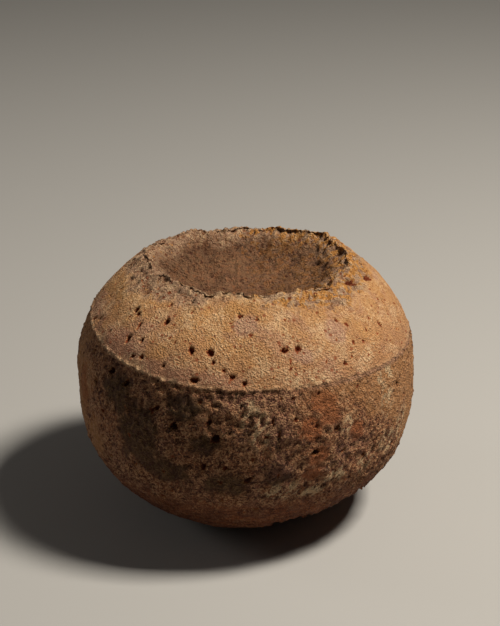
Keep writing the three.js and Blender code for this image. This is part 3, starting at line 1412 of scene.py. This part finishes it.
@dataclass(frozen=True)
class RindFinish:
    """Dry, sandy rind of an aged cheese.

    Colours are linear red, green, blue and alpha. Sand covers the dome and grit the belly, both
    given as grains in a metre, and pinholes as cells in a metre. The bumps multiply the grain's
    height above and below the seam.
    """

    tan: tuple[float, ...] = (0.5, 0.256, 0.102, 1.0)
    amber: tuple[float, ...] = (0.54, 0.262, 0.082, 1.0)
    blush: tuple[float, ...] = (0.37, 0.175, 0.105, 1.0)
    lilac: tuple[float, ...] = (0.42, 0.23, 0.155, 1.0)
    pale: tuple[float, ...] = (0.76, 0.53, 0.305, 1.0)
    # Brown for dark specks, and for painted shade in low spots and crevices.
    umber_and_shade: tuple[float, ...] = (0.19, 0.064, 0.022, 1.0)
    belly: tuple[float, ...] = (0.33, 0.122, 0.05, 1.0)
    tan_belly: tuple[float, ...] = (0.48, 0.222, 0.085, 1.0)
    mauve: tuple[float, ...] = (0.28, 0.115, 0.072, 1.0)
    # Near-black green-brown stain, partly painted shade on the front-left of the belly.
    olive: tuple[float, ...] = (0.08, 0.043, 0.011, 1.0)
    rust: tuple[float, ...] = (0.38, 0.108, 0.03, 1.0)
    # Pale dusting on grains and crests; on the crests it is partly a painted highlight.
    dust_and_highlight: tuple[float, ...] = (0.66, 0.365, 0.185, 1.0)
    # Near-black painted shade in the lowest crevices and the hollow's low spots.
    recess_shade: tuple[float, ...] = (0.05, 0.018, 0.008, 1.0)
    # Dark red-brown for grain specks, and for painted shade in low spots and crevices below the seam.
    plum_and_shade: tuple[float, ...] = (0.085, 0.03, 0.017, 1.0)
    # Dark red of the ring round the foot, partly painted shade under the ball.
    band: tuple[float, ...] = (0.14, 0.034, 0.01, 1.0)
    pit: tuple[float, ...] = (0.27, 0.063, 0.02, 1.0)
    # Near-black painted shade inside large pits, and in pinholes below the seam and in the hollow.
    deep_pit_shade: tuple[float, ...] = (0.07, 0.016, 0.007, 1.0)
    crumb: tuple[float, ...] = (0.64, 0.275, 0.055, 1.0)
    crust: tuple[float, ...] = (0.46, 0.285, 0.185, 1.0)
    # Dark brown of the hollow's floor: painted shadow.
    hollow: tuple[float, ...] = (0.13, 0.055, 0.02, 1.0)
    sand_grains: float = 850.0
    grit_grains: float = 690.0
    pinhole_cells: float = 240.0
    pinhole_depth: float = 0.8
    dome_bump: float = 1.15
    belly_bump: float = 3.0
    roughness: tuple[float, float] = (0.84, 0.97)
    specular: float = 0.25

    def material(self) -> bpy.types.Material:
        """Builds the rind's material.

        Returns:
            The material, which reads Object coordinates and the piece's own masks.
        """
        material = bpy.data.materials.new("dry_rind")
        material.use_nodes = True
        wires = Wiring(material.node_tree)
        shader = material.node_tree.nodes["Principled BSDF"]
        place = wires.add("ShaderNodeTexCoord").outputs["Object"]
        grain = sand_effect()
        sand = grain.place(wires, Place=place, Scale=self.sand_grains, Even=0.15)
        grit = grain.place(wires, Place=place, Scale=self.grit_grains, Even=0.6)
        crust = crust_effect().place(wires, Place=place)
        holes = pinhole_effect().place(wires, Place=place, Scale=self.pinhole_cells, Share=0.8)
        hole = holes["Hole"]
        patches = patch_effect()
        dome = self.dome_colour(wires, patches, place, sand, crust)
        belly = self.belly_colour(wires, patches, place, grit, crust)
        colour = wires.blend(wires.mask("below"), dome, belly)
        colour = wires.blend(wires.times(wires.mask("line"), 0.6), colour, self.lilac)
        colour = self.crumb_colour(wires, place, crust, colour)
        # Pinholes: pit colour, with near-black painted shade below the seam and in the hollow.
        dark = wires.sum("MAXIMUM", wires.mask("below"), wires.mask("hollow"))
        inner = wires.blend(dark, self.pit, self.deep_pit_shade)
        colour = wires.blend(wires.times(hole, 0.75), colour, inner)
        colour = wires.blend(wires.times(wires.mask("lip"), 0.7), colour, self.pale)
        colour = self.pit_colour(wires, place, colour)
        wires.feed(shader.inputs["Base Color"], colour)
        wires.feed(shader.inputs["Roughness"], wires.rise(sand["Pale"], 0.0, 1.0, *self.roughness))
        shader.inputs["Specular IOR Level"].default_value = self.specular
        bump = wires.add("ShaderNodeBump")
        bump.inputs["Strength"].default_value = 1.0
        bump.inputs["Distance"].default_value = MM
        wires.feed(bump.inputs["Height"], self.bump_height(wires, sand, grit, crust, hole))
        wires.feed(shader.inputs["Normal"], bump.outputs["Normal"])
        return material

    def bump_height(self, wires: Wiring, sand: object, grit: object, crust: object,
                    hole: object) -> bpy.types.NodeSocket:
        """Height of the finest relief: the grain plus the broken crust, less the pinholes.

        Args:
            wires: The material's wiring.
            sand: Outputs of the grain above the seam.
            grit: Outputs of the grain below it.
            crust: Outputs of the broken crust.
            hole: The socket of the pinholes.

        Returns:
            The socket of the height in millimetres.
        """
        coarse = wires.times(crust["Height"], self.crust_share(wires))
        above = wires.rise(wires.mask("below"), 1.0, 0.0, 0.0, self.dome_bump)
        below = wires.rise(wires.mask("below"), 0.0, 1.0, 0.0, self.belly_bump)
        height = wires.sum("ADD", wires.times(sand["Height"], above), coarse)
        height = wires.sum("ADD", wires.times(grit["Height"], below), height)
        return wires.sum("SUBTRACT", height, wires.times(hole, self.pinhole_depth))

    def crust_share(self, wires: Wiring) -> bpy.types.NodeSocket:
        """How strongly the crust is broken: most below the seam and on the crumbled rim.

        Args:
            wires: The material's wiring.

        Returns:
            The socket of the share.
        """
        below = wires.times(wires.mask("below"), wires.rise(wires.mask("band"), 0.0, 1.0, 0.8, 0.25))
        crumbled = wires.times(wires.mask("crumb"), 0.7)
        return wires.sum("ADD", wires.sum("ADD", below, 0.28), crumbled)

    def dome_colour(self, wires: Wiring, patches: Effect, place: object, sand: object,
                    crust: object) -> bpy.types.NodeSocket:
        """Warm tan above the seam, with blushes, lilac patches, frost, pale grains, dark specks, and
        painted shade in low spots and crevices.

        Args:
            wires: The material's wiring.
            patches: The patch effect.
            place: The place's socket.
            sand: Outputs of the sandy grain.
            crust: Outputs of the broken crust.

        Returns:
            The colour's socket.
        """
        aside = wires.moved(place, (0.31, 0.12, 0.07))
        warm = patches.place(wires, Place=place, Scale=26.0, Cover=0.5)["Patch"]
        broad = patches.place(wires, Place=aside, Scale=34.0, Cover=0.46)["Patch"]
        small = patches.place(wires, Place=aside, Scale=100.0, Cover=0.44)["Patch"]
        cream = patches.place(wires, Place=place, Scale=90.0, Cover=0.46)["Patch"]
        colour = wires.blend(wires.times(warm, 0.8), self.tan, self.amber)
        colour = wires.blend(wires.times(broad, 0.6), colour, self.lilac)
        colour = wires.blend(wires.times(small, 0.45), colour, self.blush)
        colour = wires.blend(wires.times(cream, 0.35), colour, self.pale)
        colour = wires.blend(wires.times(wires.mask("skirt"), 0.4), colour, self.blush)
        colour = wires.blend(wires.times(wires.mask(Stain.BLUSH.value), 0.75), colour, self.blush)
        colour = wires.blend(wires.times(wires.mask(Stain.LILAC.value), 0.8), colour, self.lilac)
        # Painted shade: brown in the low spots and crevices of the relief.
        low = wires.rise(wires.mask("relief"), 0.5, 0.38)
        colour = wires.blend(wires.times(low, 0.3), colour, self.umber_and_shade)
        colour = wires.blend(wires.times(crust["Crevice"], 0.24), colour, self.umber_and_shade)
        frost = wires.times(wires.mask(Stain.FROST.value), crust["Ridge"])
        colour = wires.blend(wires.times(frost, 0.75), colour, self.pale)
        colour = wires.blend(wires.times(sand["Pale"], 0.55), colour, self.pale)
        return wires.blend(wires.times(sand["Dark"], 0.42), colour, self.umber_and_shade)

    def belly_colour(self, wires: Wiring, patches: Effect, place: object, grit: object,
                     crust: object) -> bpy.types.NodeSocket:
        """Darker below the seam, with crests pale from dusting and partly a painted highlight, painted
        shade in crevices and low spots, stains and drawn-out frost.

        Args:
            wires: The material's wiring.
            patches: The patch effect.
            place: The place's socket.
            grit: Outputs of the sandy grain.
            crust: Outputs of the broken crust.

        Returns:
            The colour's socket.
        """
        greyer = patches.place(wires, Place=place, Scale=30.0, Cover=0.5)["Patch"]
        aside = wires.moved(place, (0.9, 0.4, 0.2))
        ruddy = patches.place(wires, Place=aside, Scale=48.0, Cover=0.45)["Patch"]
        colour = wires.blend(wires.times(greyer, 0.8), self.belly, self.mauve)
        colour = wires.blend(wires.times(ruddy, 0.45), colour, self.rust)
        shares = (
            (wires.times(wires.mask("upper"), 0.9), self.tan_belly),
            (wires.times(wires.mask(Stain.TAN.value), 0.95), self.tan_belly),
            (wires.times(wires.mask(Stain.OLIVE_AND_SHADE.value), 0.9), self.olive),
            (wires.times(wires.mask(Stain.LILAC.value), 0.8), self.mauve),
            (wires.times(wires.mask(Stain.RUST.value), 0.6), self.rust),
        )
        for share, stain in shares:
            colour = wires.blend(share, colour, stain)
        stripes = wires.noise(wires.drawn_out(place, (3.6, 3.6, 1.0)), 4.0, 4.0, 0.62)
        # Ring round the foot: dark red with rust streaks, the dark red partly painted shade under the ball.
        ring = wires.blend(wires.rise(stripes, 0.47, 0.64, 0.0, 0.5), self.band, self.rust)
        colour = wires.blend(wires.times(wires.mask("band"), 0.97), colour, ring)
        relief = wires.mask("relief")
        bare = wires.rise(wires.mask("band"), 0.0, 1.0, 1.0, 0.3)
        tan = wires.sum("MAXIMUM", wires.mask(Stain.TAN.value), wires.mask("upper"))
        calm = wires.sum("MAXIMUM", tan, wires.mask(Stain.RUST.value))
        broken = wires.times(bare, wires.rise(calm, 0.0, 1.0, 0.95, 0.15))
        # Painted shade: dark red-brown in the low spots and crevices of the relief, near-black in the
        # lowest crevices.
        low = wires.times(wires.rise(relief, 0.48, 0.2), 0.6)
        colour = wires.blend(wires.times(low, broken), colour, self.plum_and_shade)
        colour = wires.blend(wires.times(crust["Crevice"], broken), colour, self.plum_and_shade)
        deepest_shade = wires.times(wires.rise(relief, 0.36, 0.1), crust["Crevice"])
        colour = wires.blend(wires.times(deepest_shade, broken), colour, self.recess_shade)
        # Crests pale with dusting, partly a painted highlight.
        crest_dust_and_highlight = wires.times(crust["Ridge"], wires.rise(relief, 0.3, 0.7, 0.35, 0.95))
        stained = wires.sum("MAXIMUM", wires.mask(Stain.RUST.value), wires.mask(Stain.OLIVE_AND_SHADE.value))
        clear = wires.rise(stained, 0.0, 1.0, 1.0, 0.2)
        crest_dust_and_highlight = wires.times(wires.times(crest_dust_and_highlight, bare), clear)
        colour = wires.blend(crest_dust_and_highlight, colour, self.dust_and_highlight)
        drawn = wires.drawn_out(place, (1.0, 1.0, 3.4), 40.0)
        streaks = wires.rise(wires.noise(drawn, 3.2, 4.0, 0.66), 0.49, 0.53)
        frost = wires.times(wires.mask(Stain.FROST.value), streaks)
        colour = wires.blend(wires.times(frost, 0.95), colour, self.pale)
        grains = wires.times(wires.times(grit["Pale"], wires.rise(tan, 0.0, 1.0, 0.8, 0.5)), clear)
        colour = wires.blend(wires.times(grains, bare), colour, self.dust_and_highlight)
        speck = wires.times(grit["Dark"], wires.rise(calm, 0.0, 1.0, 0.8, 0.25))
        return wires.blend(speck, colour, self.plum_and_shade)

    def crumb_colour(self, wires: Wiring, place: object, crust: object,
                     colour: object) -> bpy.types.NodeSocket:
        """Crumbled rim and hollow: orange crumbs among greyish crust, darker towards -X as painted shadow
        and with painted shade in their crevices, and a dark brown floor that is painted shadow.

        Args:
            wires: The material's wiring.
            place: The place's socket.
            crust: Outputs of the broken crust.
            colour: The colour that these are laid over.

        Returns:
            The new colour's socket.
        """
        # The orange share follows the crumb tone, so it falls towards -X with the painted shadow.
        tone = wires.times(wires.rise(wires.mask("crumb_tone_and_shadow"), 0.3, 0.75), 0.35)
        small = wires.noise(place, 2.4, 4.0, 0.65)
        mixed = wires.rise(wires.sum("ADD", tone, small), 0.58, 0.72)
        # Crumbs towards -X go partly brown: partly their own darker crust, partly painted shadow.
        painted_shadow = wires.rise(wires.mask("crumb_tone_and_shadow"), 0.22, 0.03, 0.0, 0.5)
        crumbs = wires.blend(mixed, wires.blend(painted_shadow, self.crust, self.umber_and_shade), self.crumb)
        crumbs = wires.blend(wires.times(crust["Ridge"], 0.6), crumbs, self.pale)
        # Painted shade: brown in the crumbs' low spots and crevices.
        crumbs = wires.blend(wires.rise(wires.mask("relief"), 0.4, 0.12), crumbs, self.umber_and_shade)
        crumbs = wires.blend(wires.times(crust["Crevice"], 0.6), crumbs, self.umber_and_shade)
        colour = wires.blend(wires.times(wires.mask("crumb"), 0.85), colour, crumbs)
        # Painted shadow: the hollow's floor is dark brown, with near-black painted shade in its low spots
        # and crevices.
        floor = wires.blend(wires.rise(small, 0.42, 0.66), self.hollow, self.umber_and_shade)
        floor = wires.blend(wires.rise(wires.mask("relief"), 0.45, 0.2, 0.0, 0.8), floor, self.recess_shade)
        floor = wires.blend(wires.times(crust["Crevice"], 0.9), floor, self.recess_shade)
        return wires.blend(wires.times(wires.mask("hollow"), 0.8), colour, floor)

    def pit_colour(self, wires: Wiring, place: object, colour: object) -> bpy.types.NodeSocket:
        """Pits with ragged edges: dark red inside, and nearly black as painted shade where they are large
        and low.

        Args:
            wires: The material's wiring.
            place: The place's socket.
            colour: The colour round them.

        Returns:
            The new colour's socket.
        """
        ragged = wires.rise(wires.noise(place, 1.3), 0.3, 0.7, -0.2, 0.2)
        inside = wires.rise(wires.sum("ADD", wires.mask("pit"), ragged), 0.36, 0.56)
        halo = wires.rise(wires.mask("pit"), 0.0, 0.35, 0.0, 0.4)
        colour = wires.blend(halo, colour, self.amber)
        colour = wires.blend(inside, colour, self.pit)
        # Painted shade: large pits go nearly black, most below the seam.
        dark = wires.times(wires.mask("deep_pit_shade"), wires.rise(wires.mask("below"), 0.0, 1.0, 0.15, 0.95))
        return wires.blend(wires.times(dark, inside), colour, self.deep_pit_shade)


@dataclass
class CheeseBall:
    """The whole ball, built as one closed surface that stands for the frame's solid."""

    outline: BallOutline = field(default_factory=BallOutline)
    finish: RindFinish = field(default_factory=RindFinish)
    small_dome_pits: int = 140
    small_belly_pits: int = 90
    seed: int = 7

    def surface(self) -> tuple[np.ndarray, np.ndarray, dict[str, np.ndarray], float]:
        """Works out the ball in millimetres, before it is brought to the frame.

        Returns:
            The points, the triangles, the masks by name, and the width before roughening.
        """
        noise = SpaceNoise(self.seed)
        pits = PitField(self.outline, self.small_dome_pits, self.small_belly_pits)
        along, bearing, triangles = RingGrid(self.outline).build()
        along, bearing = pits.gather(along, bearing)
        smooth_points = self.outline.place(along, bearing)
        normals = point_normals(smooth_points, triangles)
        relief = RindRelief(self.outline, pits, noise)
        height, masks = relief.heights(along, bearing, smooth_points, normals)
        points = smooth_points + normals * height[:, None]
        points[:, 2] = np.maximum(points[:, 2], 0.0)
        low, high = smooth_points.min(axis=0), smooth_points.max(axis=0)
        points[:, :2] -= 0.5 * (low + high)[:2]
        return points, triangles, masks, float(high[0] - low[0])

    def build(self) -> bpy.types.Object:
        """Makes the piece.

        Returns:
            The finished object, riding on the body and standing for the frame's node.
        """
        low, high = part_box(NODE)
        points, triangles, masks, width = self.surface()
        scale = (high.x - low.x) / width
        middle = 0.5 * (low + high)
        return self.put(points * scale + (middle.x, middle.y, 0.0), triangles, masks)

    def put(self, points: np.ndarray, triangles: np.ndarray,
            masks: dict[str, np.ndarray]) -> bpy.types.Object:
        """Puts the worked-out surface into a mesh and dresses it.

        Args:
            points: One row of x, y, z in metres for each.
            triangles: One row of three point numbers for each.
            masks: A number for each point, by the mask's name.

        Returns:
            The finished object.
        """
        mesh = bpy.data.meshes.new("cheese_ball_rind")
        mesh.from_pydata(points, [], triangles)
        mesh.polygons.foreach_set("use_smooth", np.ones(len(triangles), bool))
        for name, values in masks.items():
            layer = mesh.attributes.new(name, "FLOAT", "POINT")
            layer.data.foreach_set("value", values.astype(np.float32))
        mesh.validate()
        mesh.update()
        piece = bpy.data.objects.new("cheese_ball_rind", mesh)
        bpy.context.scene.collection.objects.link(piece)
        piece.data.materials.append(self.finish.material())
        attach(piece, BODY)
        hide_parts(NODE)
        return piece


@dataclass(frozen=True)
class Lamp:
    """Square soft lamp: its name, place and width in metres, its power and its colour."""

    name: str
    spot: tuple[float, float, float]
    size: float
    watts: float
    colour: tuple[float, float, float]

    def build(self) -> bpy.types.Object:
        """Makes the lamp, aimed at the middle of the ball.

        Returns:
            The lamp.
        """
        data = bpy.data.lights.new(self.name, "AREA")
        data.shape = "SQUARE"
        data.size = self.size
        data.energy = self.watts
        data.color = self.colour
        lamp = bpy.data.objects.new(self.name, data)
        lamp.location = self.spot
        aim = Vector((0.0, 0.0, 0.08)) - Vector(self.spot)
        lamp.rotation_euler = aim.to_track_quat("-Z", "Y").to_euler()
        bpy.context.scene.collection.objects.link(lamp)
        return lamp


@dataclass
class Studio:
    """Pale floor, soft lights and the camera. Lengths are metres."""

    lamps: tuple[Lamp, ...] = (
        Lamp("key", (0.72, -0.13, 1.34), 0.3, 31.2, (1.0, 0.935, 0.83)),
        Lamp("left_edge", (-1.25, 0.35, 0.45), 0.45, 2.2, (1.0, 0.95, 0.9)),
    )
    fill: float = 0.034
    fill_colour: tuple[float, ...] = (1.0, 0.955, 0.89, 1.0)
    floor_half: float = 6.0
    floor_colour: tuple[float, ...] = (0.4, 0.39, 0.375, 1.0)
    lens: float = 100.0
    pitch: float = 22.9
    eye: tuple[float, float, float] = (0.0025, -0.897, 0.493)

    def floor(self) -> bpy.types.Object:
        """Makes the plain pale floor.

        Returns:
            The floor.
        """
        half = self.floor_half
        mesh = bpy.data.meshes.new("floor")
        corners = [(-half, -half, 0.0), (half, -half, 0.0), (half, half, 0.0), (-half, half, 0.0)]
        mesh.from_pydata(corners, [], [(0, 1, 2, 3)])
        ground = bpy.data.objects.new("floor", mesh)
        bpy.context.scene.collection.objects.link(ground)
        paint = bpy.data.materials.new("floor_paint")
        paint.use_nodes = True
        shader = paint.node_tree.nodes["Principled BSDF"]
        shader.inputs["Base Color"].default_value = self.floor_colour
        shader.inputs["Roughness"].default_value = 0.85
        mesh.materials.append(paint)
        return ground

    def camera(self) -> bpy.types.Object:
        """Makes the camera, a little above the ball, looking down at its front.

        Returns:
            The camera.
        """
        data = bpy.data.cameras.new("camera")
        data.lens = self.lens
        data.sensor_width = 36.0
        data.clip_start = 0.01
        camera = bpy.data.objects.new("camera", data)
        camera.location = self.eye
        camera.rotation_euler = (math.radians(90.0 - self.pitch), 0.0, 0.0)
        bpy.context.scene.collection.objects.link(camera)
        bpy.context.scene.camera = camera
        return camera

    def build(self) -> None:
        """Sets the whole studio up."""
        self.floor()
        self.camera()
        for lamp in self.lamps:
            lamp.build()
        world = bpy.data.worlds.new("studio")
        world.use_nodes = True
        back = world.node_tree.nodes["Background"]
        back.inputs["Color"].default_value = self.fill_colour
        back.inputs["Strength"].default_value = self.fill
        bpy.context.scene.world = world
        bpy.context.scene.view_settings.view_transform = "Standard"


def main() -> None:
    """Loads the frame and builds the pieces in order."""
    logging.basicConfig(level=logging.INFO, format="%(name)s: %(message)s")
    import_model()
    Studio().build()
    LOG.info("studio ready")
    ball = CheeseBall().build()
    LOG.info("%s: %d triangles", ball.name, len(ball.data.polygons))


if __name__ == "__main__":
    main()
